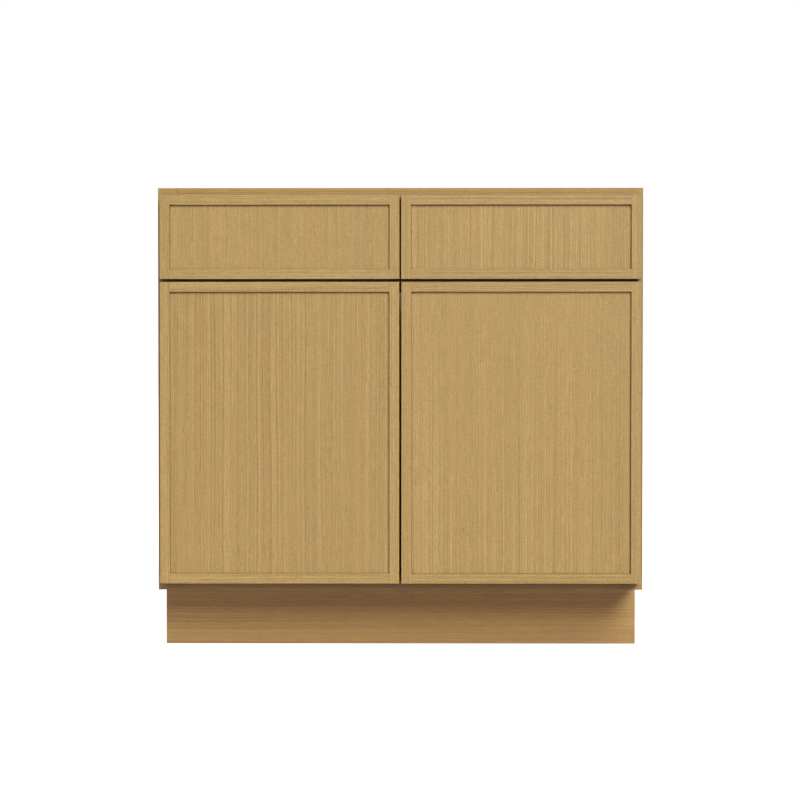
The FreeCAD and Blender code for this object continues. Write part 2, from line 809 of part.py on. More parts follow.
def frame_hinge_parts():
    """What the face frame carries of all four hinges: the arms and their pins."""
    pin = new_body("hinge_pin")
    pad(pin, "XY", [Circle(0, 0, size.hinge_pin_radius)], -size.hinge_pin_length / 2, size.hinge_pin_length)
    pin_spots = [(pin_x, pin_y, z) for z in hinge_heights]
    return [
        mirrored_pair("hinge_arms", copies("left_hinge_arms", hinge_arm(), pin_spots)),
        mirrored_pair("hinge_pins", copies("left_hinge_pins", pin, pin_spots)),
    ]


def carcass_screws():
    """The screws that hold the hinge arms, the slides' fronts and the slides' rear brackets."""
    arm_screw = screw("arm_screw", size.arm_screw_length)
    slide_screw = screw("fixed_slide_screw", size.slide_screw_length, size.slide_screw_head_height)
    front_spot = (opening_left + size.slide_steel_thickness, frame_middle_y, slide_z)
    foot_y = back_panel_y - size.bracket_thickness
    bracket_spots = [(opening_left - bracket_screw_reach, foot_y, z) for z in bracket_screw_heights]
    slide_screws = group(
        "slide_screws_one_side",
        [
            copies("slide_front_screw", slide_screw, [front_spot], HEAD_TO_RIGHT),
            copies("bracket_screws", slide_screw, bracket_spots, HEAD_TO_FRONT),
        ],
    )
    left = group(
        "left_carcass_screws",
        [
            copies("left_arm_screws", arm_screw, arm_screw_spots, HEAD_TO_RIGHT),
            mirrored_pair("left_slide_screws", slide_screws, drawer_centre),
        ],
    )
    return mirrored_pair("carcass_screws", left)


def drawer_front():
    """The left drawer's show front: four frame members and a panel."""
    height = size.drawer_front_height
    outer = front_stile("left_drawer_front_stile", front_x, drawer_front_z, height)
    panel = front_panel("left_drawer_front_panel", drawer_front_z, drawer_front_width, height)
    panel_x = front_x + size.member_width
    panel_z = drawer_front_z + size.member_width
    pilots = [Circle(x - panel_x, z - panel_z, size.screw_shank_radius) for x, z in show_front_screw_spots]
    pocket(panel, "XZ", pilots, size.front_thickness - front_screw_grip, front_screw_grip)
    left = front_x + size.bumper_inset
    right = front_x + drawer_front_width - size.bumper_inset
    low = drawer_front_z + size.bumper_inset
    high = drawer_front_z + height - size.bumper_inset
    return [
        mirrored_pair("left_drawer_front_stiles", outer, front_x + drawer_front_width / 2),
        front_rails("left_drawer_front_rails", drawer_front_z, drawer_front_width, height),
        panel,
        bumpers("left_drawer_bumpers", [(x, z) for x in (left, right) for z in (low, high)]),
    ]


def tail_edges():
    """For each dovetail, the heights of its lower and upper edge at its end and at its neck."""
    pitch = box_height / TAILS_PER_CORNER
    edges = []
    for number in range(TAILS_PER_CORNER):
        middle = pitch * number + pitch / 2
        end = pitch * TAIL_END_SHARE / 2
        neck = pitch * TAIL_NECK_SHARE / 2
        edges.append({"low": (middle - end, middle - neck), "high": (middle + end, middle + neck)})
    return edges


def across_joint(low, high, end_y, neck_y):
    """A four-sided outline between two slanted edges of a dovetail joint."""
    return [(end_y, low[0]), (neck_y, low[1]), (neck_y, high[1]), (end_y, high[0])]


def tail_outlines(end_y, neck_y):
    """The dovetails themselves, which are the sockets of the board that takes them."""
    return [across_joint(tail["low"], tail["high"], end_y, neck_y) for tail in tail_edges()]


def waste_outlines(end_y, neck_y):
    """What is cut away beside the dovetails."""
    lows = [(0, 0)] + [tail["high"] for tail in tail_edges()]
    highs = [tail["low"] for tail in tail_edges()] + [(box_height, box_height)]
    return [across_joint(low, high, end_y, neck_y) for low, high in zip(lows, highs)]


def box_side():
    """The left side of the drawer box: dovetailed at both ends, grooved for the bottom."""
    thickness = size.box_thickness
    low = size.box_bottom_lift
    wall = thickness - size.box_groove_depth
    side = board("left_drawer_box_left_side", (box_x, front_back, box_z), thickness, box_depth, box_height)
    pocket(side, "YZ", waste_outlines(as_size(0), thickness), 0, thickness)
    pocket(side, "YZ", waste_outlines(box_depth, box_depth - thickness), 0, thickness)
    groove = rectangle(wall, low, thickness, low + size.box_bottom_thickness)
    pocket(side, "XZ", [groove], 0, box_depth)
    pilots = [Circle(y - front_back, slide_z - box_z, size.screw_shank_radius) for y in inner_screw_depths]
    pocket(side, "YZ", pilots, 0, slide_screw_grip)
    return side


def box_end(label, y, joint_end, joint_neck, groove_y):
    """The front or back of the drawer box: socketed for the sides' dovetails, grooved for the bottom."""
    thickness = size.box_thickness
    low = size.box_bottom_lift
    body = board(label, (box_x, y, box_z), box_width, thickness, box_height)
    sockets = tail_outlines(joint_end, joint_neck)
    pocket(body, "YZ", sockets, 0, thickness)
    pocket(body, "YZ", sockets, box_width - thickness, thickness)
    groove = rectangle(groove_y, low, groove_y + size.box_groove_depth, low + size.box_bottom_thickness)
    pocket(body, "YZ", [groove], thickness, box_width - 2 * thickness)
    return body


def drawer_screws():
    """The screws that hold the left drawer's show front and its slides' inner members."""
    front_screw = screw("front_screw", size.front_screw_length)
    slide_screw = screw("moving_slide_screw", size.slide_screw_length, size.slide_screw_head_height)
    front_spots = [(x, front_back + size.box_thickness, z) for x, z in show_front_screw_spots]
    slide_spots = [(box_x - size.slide_steel_thickness, y, slide_z) for y in inner_screw_depths]
    show_front_screws = copies("show_front_screws", front_screw, front_spots, HEAD_TO_BACK)
    one_side = copies("inner_member_screws", slide_screw, slide_spots, HEAD_TO_LEFT)
    both_sides = mirrored_pair("left_inner_member_screws", one_side, drawer_centre)
    return group("left_drawer_screws", [show_front_screws, both_sides])


def drawer_box():
    """The left drawer's box: four dovetailed boards and a bottom in their grooves."""
    thickness = size.box_thickness
    wall = thickness - size.box_groove_depth
    side = box_side()
    front = box_end("left_drawer_box_front", front_back, as_size(0), thickness, wall)
    holes = [Circle(x - box_x, z - box_z, size.screw_shank_radius) for x, z in show_front_screw_spots]
    pocket(front, "XZ", holes, 0, thickness)
    rear_y = front_back + box_depth - thickness
    back = box_end("left_drawer_box_back", rear_y, thickness, as_size(0), as_size(0))
    bottom = board(
        "left_drawer_box_bottom",
        (box_x + wall, front_back + wall, box_z + size.box_bottom_lift),
        box_width - 2 * wall,
        box_depth - 2 * wall,
        size.box_bottom_thickness,
    )
    right_side = mirrored("left_drawer_box_right_side", side, drawer_centre)
    return [side, right_side, front, back, bottom, drawer_screws()]


def channel(label, web, lips, half_height, screw_depths=()):
    """A slide member: a steel channel whose web and lips are given across the slide's width."""
    steel = size.slide_steel_thickness
    opens_right = lips.value > web.value
    web_far = web + steel if opens_right else web - steel
    outline = [
        (web, -half_height),
        (lips, -half_height),
        (lips, steel - half_height),
        (web_far, steel - half_height),
        (web_far, half_height - steel),
        (lips, half_height - steel),
        (lips, half_height),
        (web, half_height),
    ]
    body = new_body(label, opening_left, slide_y, slide_z)
    pad(body, "XZ", [outline], 0, slide_length)
    if screw_depths:
        holes = [Circle(y - slide_y, 0, size.screw_shank_radius) for y in screw_depths]
        pocket(body, "YZ", holes, web if opens_right else web_far, steel)
    return body


def ball_cages():
    """The four strips that keep one slide's balls in their races."""
    middle_x = size.slide_middle_web + size.slide_middle_flange / 2
    left = middle_x - size.cage_width / 2
    right = middle_x + size.cage_width / 2
    thickness = size.slide_race_width - size.slide_running_clearance
    inside_middle = middle_half - size.slide_steel_thickness
    lows = [middle_half, -middle_half - thickness, inside_middle - thickness, -inside_middle]
    strips = []
    for number, low in enumerate(lows, start=1):
        body = new_body(f"ball_cage_{number}", opening_left, slide_y + size.cage_setback, slide_z)
        pad(body, "XZ", [rectangle(left, low, right, low + thickness)], 0, cage_length)
        strips.append(body)
    return group("left_ball_cages_one_side", strips)


def rear_bracket():
    """The bracket that carries a slide's rear end from the back panel."""
    steel = size.bracket_thickness
    start = slide_y + slide_length - size.bracket_overlap
    length = back_panel_y - start
    outline = [
        (0, 0),
        (0, length),
        (-size.bracket_foot_width - steel, length),
        (-size.bracket_foot_width - steel, length - steel),
        (-steel, length - steel),
        (-steel, 0),
    ]
    body = new_body("slide_rear_bracket", opening_left, start, slide_z)
    pad(body, "XY", [outline], -size.bracket_height / 2, size.bracket_height)
    radius = size.screw_shank_radius
    holes = [Circle(-bracket_screw_reach, z - slide_z, radius) for z in bracket_screw_heights]
    pocket(body, "XZ", holes, length - steel, steel)
    return body


def fixed_slide_parts():
    """What the carcass carries of all four slides: the outer members and their rear brackets."""
    outer = channel("slide_outer", as_size(0), size.slide_outer_flange, outer_half, [frame_middle_y])
    left_outers = mirrored_pair("left_slide_outer_members", outer, drawer_centre)
    left_brackets = mirrored_pair("left_slide_rear_brackets", rear_bracket(), drawer_centre)
    return [
        mirrored_pair("slide_outer_members", left_outers),
        mirrored_pair("slide_rear_brackets", left_brackets),
    ]


def moving_slide_parts():
    """What moves of the left drawer's two slides: the middle members, cages and inner members."""
    web = size.slide_middle_web
    middle = channel("slide_middle", web, web + size.slide_middle_flange, middle_half)
    inner_lips = size.slide_width - size.slide_inner_flange
    inner = channel("slide_inner", size.slide_width, inner_lips, inner_half, inner_screw_depths)
    return [
        mirrored_pair("left_slide_middle_members", middle, drawer_centre),
        mirrored_pair("left_slide_ball_cages", ball_cages(), drawer_centre),
        mirrored_pair("left_slide_inner_members", inner, drawer_centre),
    ]


def on_both_sides(left_pieces):
    """Each left piece with its mirror image on the right."""
    pieces = []
    for piece in left_pieces:
        pieces.append(piece)
        pieces.append(mirrored(piece.Label.replace("left_", "right_", 1), piece))
    return pieces


def carcass():
    """The fixed box: boards, shelf, braces, toe kick and face frame."""
    left_stile = stile()
    drill_stile_edge(left_stile)
    panel_depth = back_panel_y - frame_back
    cleat_z = size.toe_kick_height - size.cleat_overlap
    shelf_half = side_inner - size.shelf_end_clearance
    hanging_rail_z = size.cabinet_height - size.hanging_rail_height
    toe_corner = (-half_width, toe_board_y, 0)
    shelf_corner = (-shelf_half, shelf_y, size.shelf_height)
    dado = size.dado_depth
    return on_both_sides([side_panel(), left_stile]) + [
        inner_board("bottom_panel", frame_back, bottom_z, panel_depth, size.bottom_thickness, dado),
        back_panel(),
        inner_board(
            "hanging_rail",
            hanging_rail_y,
            hanging_rail_z,
            size.hanging_rail_thickness,
            size.hanging_rail_height,
        ),
        board("toe_kick_board", toe_corner, 2 * half_width, size.toe_board_thickness, size.toe_kick_height),
        inner_board("toe_kick_cleat", toe_board_back, cleat_z, size.cleat_thickness, bottom_z - cleat_z),
        frame_rail("top_rail", top_rail_z, 0),
        frame_rail("mid_rail", mid_rail_z, size.rail_width - size.dowel_length / 2),
        frame_rail("bottom_rail", size.toe_kick_height),
        drawer_mullion(),
        frame_dowels(),
        corner_braces(),
        board("shelf", shelf_corner, 2 * shelf_half, shelf_depth, size.shelf_thickness),
        shelf_pins(),
    ]


fixed_pieces = carcass() + frame_hinge_parts() + fixed_slide_parts() + [carcass_screws()]
left_pieces = door() + door_hinge_parts() + drawer_front() + drawer_box() + moving_slide_parts()
nodes = fixed_pieces + on_both_sides(left_pieces)
doc.recompute()

for thing in doc.Objects:
    if {"Invalid", "Error"} & set(thing.State):
        raise ValueError(f"{thing.Label} has failed: {thing.State}")
for node in nodes:
    if node.Shape.isNull() or not node.Shape.isValid() or not node.Shape.Solids:
        raise ValueError(f"{node.Label} has no valid shape")

os.makedirs("parts", exist_ok=True)
for node in nodes:
    node.Shape.exportStep(f"parts/{node.Label}.step")
    print(f"{node.Label}: {len(node.Shape.Solids)} solids, {node.Shape.Volume / 1000:.1f} cm3")
print(f"{len(nodes)} nodes")
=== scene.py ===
import json
import math

import bpy
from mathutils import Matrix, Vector

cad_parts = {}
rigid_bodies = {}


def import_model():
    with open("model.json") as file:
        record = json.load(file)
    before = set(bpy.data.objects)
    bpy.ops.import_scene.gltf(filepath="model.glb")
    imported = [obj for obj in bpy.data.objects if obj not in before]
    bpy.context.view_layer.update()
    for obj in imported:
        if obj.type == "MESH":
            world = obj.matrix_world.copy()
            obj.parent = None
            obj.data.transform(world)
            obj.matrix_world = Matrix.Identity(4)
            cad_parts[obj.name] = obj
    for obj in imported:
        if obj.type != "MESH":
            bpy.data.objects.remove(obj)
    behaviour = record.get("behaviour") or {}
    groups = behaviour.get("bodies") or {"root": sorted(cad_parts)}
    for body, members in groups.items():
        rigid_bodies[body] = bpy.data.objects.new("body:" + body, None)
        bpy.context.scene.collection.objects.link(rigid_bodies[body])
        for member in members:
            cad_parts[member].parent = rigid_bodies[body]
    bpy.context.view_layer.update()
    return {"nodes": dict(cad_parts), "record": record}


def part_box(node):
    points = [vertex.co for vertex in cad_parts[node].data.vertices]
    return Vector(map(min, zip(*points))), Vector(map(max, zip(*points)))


# Looks, light and camera for a kitchen base cabinet in light oak. Lengths are in metres,
# except for the sizes of marks in the materials, which are in millimetres.

for thing in list(bpy.data.objects):
    bpy.data.objects.remove(thing)

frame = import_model()
nodes = frame["nodes"]

MILLIMETRES = 1000.0
AXES = {"X": (1.0, 0.0, 0.0), "Y": (0.0, 1.0, 0.0), "Z": (0.0, 0.0, 1.0)}

# Linear colours: the light and the dark of each wood's lines
FRONT_OAK = (0.452, 0.330, 0.122), (0.329, 0.219, 0.0723)
CARCASS_OAK = (0.446, 0.294, 0.102), (0.330, 0.203, 0.0647)
BIRCH = (0.560, 0.435, 0.283), (0.480, 0.358, 0.220)
MAPLE = (0.655, 0.520, 0.350), (0.555, 0.415, 0.250)
BEECH = (0.560, 0.410, 0.270), (0.455, 0.315, 0.190)

# Linear colours of the metals and plastics
ZINC = (0.60, 0.635, 0.615)
NICKEL = (0.64, 0.65, 0.59)
NYLON = (0.030, 0.030, 0.033)
SOFT_PAD = (0.62, 0.60, 0.54)
PAPER_WHITE = (1.0, 1.0, 1.0)

# Each slot's colour and roughness, and for the plastics how clear they are
PALE_WOODS = {"birch_ply": (BIRCH, 0.44), "maple_box": (MAPLE, 0.36), "beech_dowel": (BEECH, 0.60)}
METALS = {"zinc_steel": (ZINC, 0.30), "nickel_steel": (NICKEL, 0.24), "zinc_screw": (ZINC, 0.34)}
PLASTICS = {"cage_plastic": (NYLON, 0.45, 0.0), "clear_rubber": (SOFT_PAD, 0.30, 0.5)}
WOOD_IOR = 1.48
PLASTIC_IOR = 1.50

# The part of its range that noise mostly stays in, for coarse, fine and strongly drawn marks
COARSE = (0.25, 0.75)
FINE = (0.20, 0.80)
DRAWN = (0.28, 0.72)
WHOLE = (0.0, 1.0)

# Noise's detail, from plain lumps to detailed ones, and how much of it shows
PLAIN = 1.0
USUAL = 2.0
DETAILED = 3.0
EVEN = 0.5
CRISP = 0.6


class Shader:
    """One material: its nodes are added one at a time and joined by their sockets."""

    def __init__(self, name):
        self.material = bpy.data.materials.new(name)
        self.material.use_nodes = True
        self.tree = self.material.node_tree
        self.surface = self.tree.nodes["Principled BSDF"]

    def feed(self, socket, value):
        """Set a socket to a plain value, or link another socket to it."""
        if isinstance(value, bpy.types.NodeSocket):
            self.tree.links.new(value, socket)
        else:
            socket.default_value = value

    def add(self, kind, inputs=(), **settings):
        """Add a node with its settings and inputs."""
        node = self.tree.nodes.new("ShaderNode" + kind)
        for key, value in settings.items():
            setattr(node, key, value)
        for key, value in dict(inputs).items():
            self.feed(node.inputs[key], value)
        return node

    def math(self, operation, first, second=0.0):
        return self.add("Math", {0: first, 1: second}, operation=operation).outputs[0]

    def scaled(self, value, gain, offset=0.0):
        """A value times a gain, plus an offset."""
        inputs = {0: value, 1: gain, 2: offset}
        return self.add("Math", inputs, operation="MULTIPLY_ADD").outputs[0]

    def vector_math(self, operation, first, second=(0.0, 0.0, 0.0)):
        node = self.add("VectorMath", {0: first, 1: second}, operation=operation)
        return node.outputs["Value" if operation == "DOT_PRODUCT" else "Vector"]

    def vector(self, x=0.0, y=0.0, z=0.0):
        """Put three values together."""
        return self.add("CombineXYZ", {0: x, 1: y, 2: z}).outputs[0]

    def split(self, vector):
        """Take a vector apart into its three values."""
        return self.add("SeparateXYZ", {0: vector}).outputs

    def smooth(self, value, span, result=WHOLE):
        """A value eased from one span into another."""
        inputs = {
            "Value": value,
            "From Min": span[0],
            "From Max": span[1],
            "To Min": result[0],
            "To Max": result[1],
        }
        return self.add("MapRange", inputs, interpolation_type="SMOOTHSTEP").outputs["Result"]

    def mix(self, factor, first, second):
        """Mix two colours."""
        node = self.add("Mix", data_type="RGBA")
        colours = [socket for socket in node.inputs if socket.type == "RGBA"]
        self.feed(node.inputs["Factor"], factor)
        for socket, value in zip(colours, (first, second)):
            self.feed(socket, value if isinstance(value, bpy.types.NodeSocket) else (*value, 1.0))
        return next(socket for socket in node.outputs if socket.type == "RGBA")

    def shade(self, colour, factor):
        """Make a colour lighter or darker by a factor."""
        return self.vector_math("MULTIPLY", colour, self.vector(factor, factor, factor))

    def vary(self, colour, noise, change, span):
        """Make a colour darker and lighter by up to a share of itself, as the noise goes."""
        return self.shade(colour, self.smooth(noise, span, (1 - change, 1 + change)))

    def stain(self, colour, depth, strengths):
        """Darken a colour where the depth is high, by a strength for each of red, green and blue."""
        taken = self.vector_math("MULTIPLY", self.vector(depth, depth, depth), strengths)
        left = self.vector_math("SUBTRACT", (1.0, 1.0, 1.0), taken)
        return self.vector_math("MULTIPLY", colour, left)

    def noise(self, place, sizes, detail=USUAL, roughness=EVEN):
        """Noise whose lumps have the given sizes along the three axes, from 0 to 1."""
        scale = tuple(1.0 / length for length in sizes)
        scaled = self.vector_math("MULTIPLY", place, scale)
        inputs = {"Vector": scaled, "Scale": 1.0, "Detail": detail, "Roughness": roughness}
        return self.add("TexNoise", inputs).outputs["Fac"]

    def set(self, **inputs):
        """Feed the shader's own sockets, named with underscores for spaces."""
        for key, value in inputs.items():
            self.feed(self.surface.inputs[key.replace("_", " ")], value)

    def bump(self, height, distance, strength=0.5):
        inputs = {"Height": height, "Distance": distance, "Strength": strength}
        self.set(Normal=self.add("Bump", inputs).outputs["Normal"])


# How far the texture is shifted along each axis from one piece to the next, at most
PIECE_SHIFTS = (3.1, 1.7, 2.3)


def board_place(shader, along):
    """Millimetres along the grain in X and across it in Y and Z, shifted at random for each piece."""
    coordinates = shader.add("TexCoord")
    split = shader.split(coordinates.outputs["Object"])
    first = "XYZ".index(along)
    turned = shader.vector(split[first], split[(first + 1) % 3], split[(first + 2) % 3])
    piece = shader.add("ObjectInfo").outputs["Random"]
    shift = shader.vector(*(shader.math("MULTIPLY", piece, reach) for reach in PIECE_SHIFTS))
    moved = shader.vector_math("ADD", turned, shift)
    place = shader.vector_math("MULTIPLY", moved, (MILLIMETRES,) * 3)
    return place, piece, coordinates


def swayed(shader, place, sizes, reach, detail=USUAL):
    """The place pushed sideways in slow waves, so that the grain doesn't run dead straight."""
    sway = shader.noise(place, sizes, detail)
    push = shader.scaled(sway, reach, -reach / 2)
    return shader.vector_math("ADD", place, shader.vector(0.0, push, push))


def facing(shader, coordinates, axis):
    """How squarely the surface faces along an axis, from 0 to 1, whichever way the piece has moved."""
    dot = shader.vector_math("DOT_PRODUCT", coordinates.outputs["Normal"], AXES[axis])
    return shader.math("ABSOLUTE", dot)


# Cut ends drink the finish and turn darker
END_FACING = (0.6, 0.8)
OAK_END_SHADE = 0.72
PALE_END_SHADE = 0.74


def darker_ends(shader, coordinates, along, colour, end_shade):
    """Darken a colour where the surface cuts across the grain."""
    on_end = shader.smooth(facing(shader, coordinates, along), END_FACING)
    return shader.mix(on_end, colour, shader.shade(colour, end_shade))


# Plies on a board's edges: every other one shows its flecked end grain
PLY_THICKNESS = 1.43
PLY_WAVE_SIZES = (60, 60, 60)
PLY_WAVE = 0.3
PLY_BORDER = (0.35, 0.65)
PLY_FLECK_SIZES = (0.7, 0.7, 0.7)
PLY_FLECKS = (0.3, 0.7)
PLY_END_SHADES = (0.58, 0.90)
EDGE_FACING = (0.5, 0.3)


def ply_edges(shader, coordinates, thickness_axis, colour, dark):
    """Show the plies where the surface is an edge of a board."""
    place = shader.vector_math("MULTIPLY", coordinates.outputs["Object"], (MILLIMETRES,) * 3)
    through = shader.split(place)["XYZ".index(thickness_axis)]
    depth = shader.math("DIVIDE", through, PLY_THICKNESS)
    wave = shader.noise(place, PLY_WAVE_SIZES)
    layer = shader.math("PINGPONG", shader.scaled(wave, PLY_WAVE, depth), 1.0)
    fleck = shader.noise(place, PLY_FLECK_SIZES, DETAILED)
    end_grain = shader.shade(dark, shader.smooth(fleck, PLY_FLECKS, PLY_END_SHADES))
    plies = shader.mix(shader.smooth(layer, PLY_BORDER), colour, end_grain)
    on_edge = shader.smooth(facing(shader, coordinates, thickness_axis), EDGE_FACING)
    return shader.mix(on_edge, colour, plies)


# Painted shade: the colour darkens in corners and gaps, where shade falls. Listed: the reach that is looked
# at, how far the look leans up, the openness over which the shade fades, and the shade where it is closed
CORNER_REACH = 0.008
CORNER_LEAN = 0.25
CORNER_OPENNESS = (0.20, 0.80)
CORNER_SHADES = (0.15, 1.0)
SHELTER_REACH = 0.024
SHELTER_LEAN = 0.85
SHELTER_OPENNESS = (0.22, 0.86)
SHELTER_SHADES = (0.32, 1.0)
OPENNESS_SAMPLES = 6

# Where that painted shade is kept off: faces that look up, faces of a front that don't look
# forward, and the face frame from 2 to 8 mm in under a closed front
LOOKING_UP = (0.3, 0.8)
NOT_FORWARD = (-0.6, -0.2)
UNDER_FRONT = (0.002, 0.008)


def openness(shader, reach, lean):
    """How open the space within a reach is, from 0 to 1, looking out from the surface and a little up."""
    normal = shader.add("NewGeometry").outputs["Normal"]
    outward = shader.vector_math("NORMALIZE", shader.vector_math("ADD", normal, (0.0, 0.0, lean)))
    inputs = {"Distance": reach, "Normal": outward}
    return shader.add("AmbientOcclusion", inputs, samples=OPENNESS_SAMPLES).outputs["AO"]


def painted_corner_shade(shader, coordinates, covered):
    """How light the colour stays under painted shade, which darkens the gaps and corners between pieces
    where shade falls.

    It is kept off faces that look up, the floor isn't one of the pieces, and what is covered stays unshaded.
    """
    corner_shade = shader.smooth(openness(shader, CORNER_REACH, CORNER_LEAN), CORNER_OPENNESS, CORNER_SHADES)
    height = shader.split(coordinates.outputs["Object"])[2]
    above_floor = shader.smooth(height, (CORNER_REACH, 0.0))
    upward = shader.split(coordinates.outputs["Normal"])[2]
    kept_unshaded = shader.math("MAXIMUM", above_floor, shader.smooth(upward, LOOKING_UP))
    return shader.math("MAXIMUM", shader.math("MAXIMUM", kept_unshaded, covered), corner_shade)


def painted_shade_behind_fronts(shader, covered):
    """How light the face frame stays under painted shade: darker in the gaps behind the fronts and just
    below them, where shade falls.
    """
    open_space = openness(shader, SHELTER_REACH, SHELTER_LEAN)
    return shader.math("MAXIMUM", shader.smooth(open_space, SHELTER_OPENNESS, SHELTER_SHADES), covered)


def inside_span(shader, place, low, high):
    """How far a place is inside a span. It is negative outside it."""
    return shader.math("MINIMUM", shader.math("SUBTRACT", place, low), shader.math("SUBTRACT", high, place))


def under_fronts(shader, coordinates):
    """From 0 to 1 where a closed door or drawer front covers the face frame, away from its edges."""
    across, _, height = shader.split(coordinates.outputs["Object"])
    (inner, _, door_foot), (outer, _, door_top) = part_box("right_door_stiles")
    (_, _, drawer_foot), (_, _, drawer_top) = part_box("right_drawer_front_stiles")
    beside = inside_span(shader, shader.math("ABSOLUTE", across), inner, outer)
    in_door = inside_span(shader, height, door_foot, door_top)
    in_drawer = inside_span(shader, height, drawer_foot, drawer_top)
    depth = shader.math("MINIMUM", beside, shader.math("MAXIMUM", in_door, in_drawer))
    return shader.smooth(depth, UNDER_FRONT)


def not_forward(shader, coordinates):
    """From 0 to 1 on a front's back and edges, which show only when it is open."""
    forward = shader.split(coordinates.outputs["Normal"])[1]
    return shader.smooth(forward, NOT_FORWARD)


# Oak's marks: their sizes along the grain and twice across it
OAK_SWAY_SIZES = (420, 90, 90)
OAK_SWAY = 5.0
OAK_LINE_SIZES = (1800, 0.95, 0.95)
OAK_BAND_SIZES = (2200, 22, 22)
OAK_STREAK_SIZES = (34, 0.9, 0.9)
OAK_FIBRE_SIZES = (24, 0.35, 0.35)
OAK_CLUSTER_SIZES = (2.6, 1.5, 1.5)
OAK_PORE_SIZES = (4.6, 0.26, 0.26)
RING_TILT = math.radians(32)

# How much each kind of mark changes oak's colour
OAK_BAND_CHANGE = 0.03
OAK_STREAK_CHANGE = 0.10
OAK_FIBRE_CHANGE = 0.07
OAK_PIECE_CHANGE = 0.015

# Pores gather in clusters and in the dark lines. They are warm brown, so they take
# more from blue than from red.
PORE_CLUSTERING = (-0.12, 0.12)
PORES_IN_LIGHT_LINES = -0.06
PORE_EDGE = (0.50, 0.62)
PORE_SHARES = (0.72, 1.0, 1.28)
FRONT_PORES = 0.36
CARCASS_PORES = 0.24

# How strongly the lines and bands show in solid oak and in veneer
SOLID_FIGURE = 0.85
VENEER_FIGURE = 1.2

OAK_ROUGHNESS = (0.42, 0.54)
OAK_FIBRE_RELIEF = 0.25
OAK_RELIEF = 0.00006
OAK_BUMP = 0.6


def oak_pores(shader, place, tone):
    """How deep the pores are, from 0 to 1."""
    clusters = shader.smooth(shader.noise(place, OAK_CLUSTER_SIZES, PLAIN), COARSE, PORE_CLUSTERING)
    pores = shader.math("ADD", shader.noise(place, OAK_PORE_SIZES, PLAIN), clusters)
    return shader.smooth(shader.scaled(tone, PORES_IN_LIGHT_LINES, pores), PORE_EDGE)


def oak(name, along, is_front, is_solid, plies=None):
    """Rift-cut oak under a clear satin lacquer: fine straight lines, gathered pores and soft bands."""
    shader = Shader(name)
    light, dark = FRONT_OAK if is_front else CARCASS_OAK
    figure = SOLID_FIGURE if is_solid else VENEER_FIGURE
    pore_strength = FRONT_PORES if is_front else CARCASS_PORES

    still_place, piece, coordinates = board_place(shader, along)
    place = swayed(shader, still_place, OAK_SWAY_SIZES, OAK_SWAY, PLAIN)
    length, width, thickness = shader.split(place)
    tilted = shader.math("MULTIPLY", width, math.cos(RING_TILT))
    rings = shader.vector(length, shader.scaled(thickness, math.sin(RING_TILT), tilted))

    tone = shader.smooth(shader.noise(rings, OAK_LINE_SIZES, roughness=CRISP), DRAWN)
    bands = shader.noise(rings, OAK_BAND_SIZES)
    streaks = shader.noise(place, OAK_STREAK_SIZES, PLAIN)
    fibres = shader.noise(place, OAK_FIBRE_SIZES, roughness=CRISP)
    pore_depth = oak_pores(shader, place, tone)

    colour = shader.mix(shader.scaled(tone, figure, (1 - figure) / 2), dark, light)
    colour = shader.vary(colour, bands, OAK_BAND_CHANGE * figure, COARSE)
    colour = shader.vary(colour, streaks, OAK_STREAK_CHANGE, COARSE)
    colour = shader.vary(colour, fibres, OAK_FIBRE_CHANGE, FINE)
    colour = shader.stain(colour, pore_depth, tuple(pore_strength * share for share in PORE_SHARES))
    colour = shader.vary(colour, piece, OAK_PIECE_CHANGE, WHOLE)
    colour = darker_ends(shader, coordinates, along, colour, OAK_END_SHADE)
    if plies:
        colour = ply_edges(shader, coordinates, plies, colour, BIRCH[1])

    # Painted shade: the colour is darkened in corners and gaps, and on the face frame behind and below the
    # fronts
    if is_front:
        colour = shader.shade(colour, painted_corner_shade(shader, coordinates, not_forward(shader, coordinates)))
    elif is_solid:
        covered = under_fronts(shader, coordinates)
        colour = shader.shade(colour, painted_corner_shade(shader, coordinates, covered))
        colour = shader.shade(colour, painted_shade_behind_fronts(shader, covered))
    else:
        colour = shader.shade(colour, painted_corner_shade(shader, coordinates, 0.0))

    shader.set(Base_Color=colour, Roughness=shader.smooth(fibres, FINE, OAK_ROUGHNESS), IOR=WOOD_IOR)
    relief = shader.math("SUBTRACT", shader.scaled(fibres, OAK_FIBRE_RELIEF), pore_depth)
    shader.bump(relief, OAK_RELIEF, OAK_BUMP)
    return shader.material


# The pale woods' marks: their sizes, and how much they change the colour
PALE_SWAY_SIZES = (260, 70, 70)
PALE_SWAY = 30.0
PALE_FIGURE_SIZES = (700, 11, 11)
PALE_FIBRE_SIZES = (22, 0.6, 0.6)
PALE_FIBRE_CHANGE = 0.05
PALE_FLECK_SIZES = (7, 0.5, 0.5)
PALE_FLECK_EDGE = (0.62, 0.74)
PALE_FLECK_CHANGE = 0.14
PALE_PIECE_CHANGE = 0.04
PALE_ROUGHNESS_RANGE = 0.10
PALE_RELIEF = 0.00003


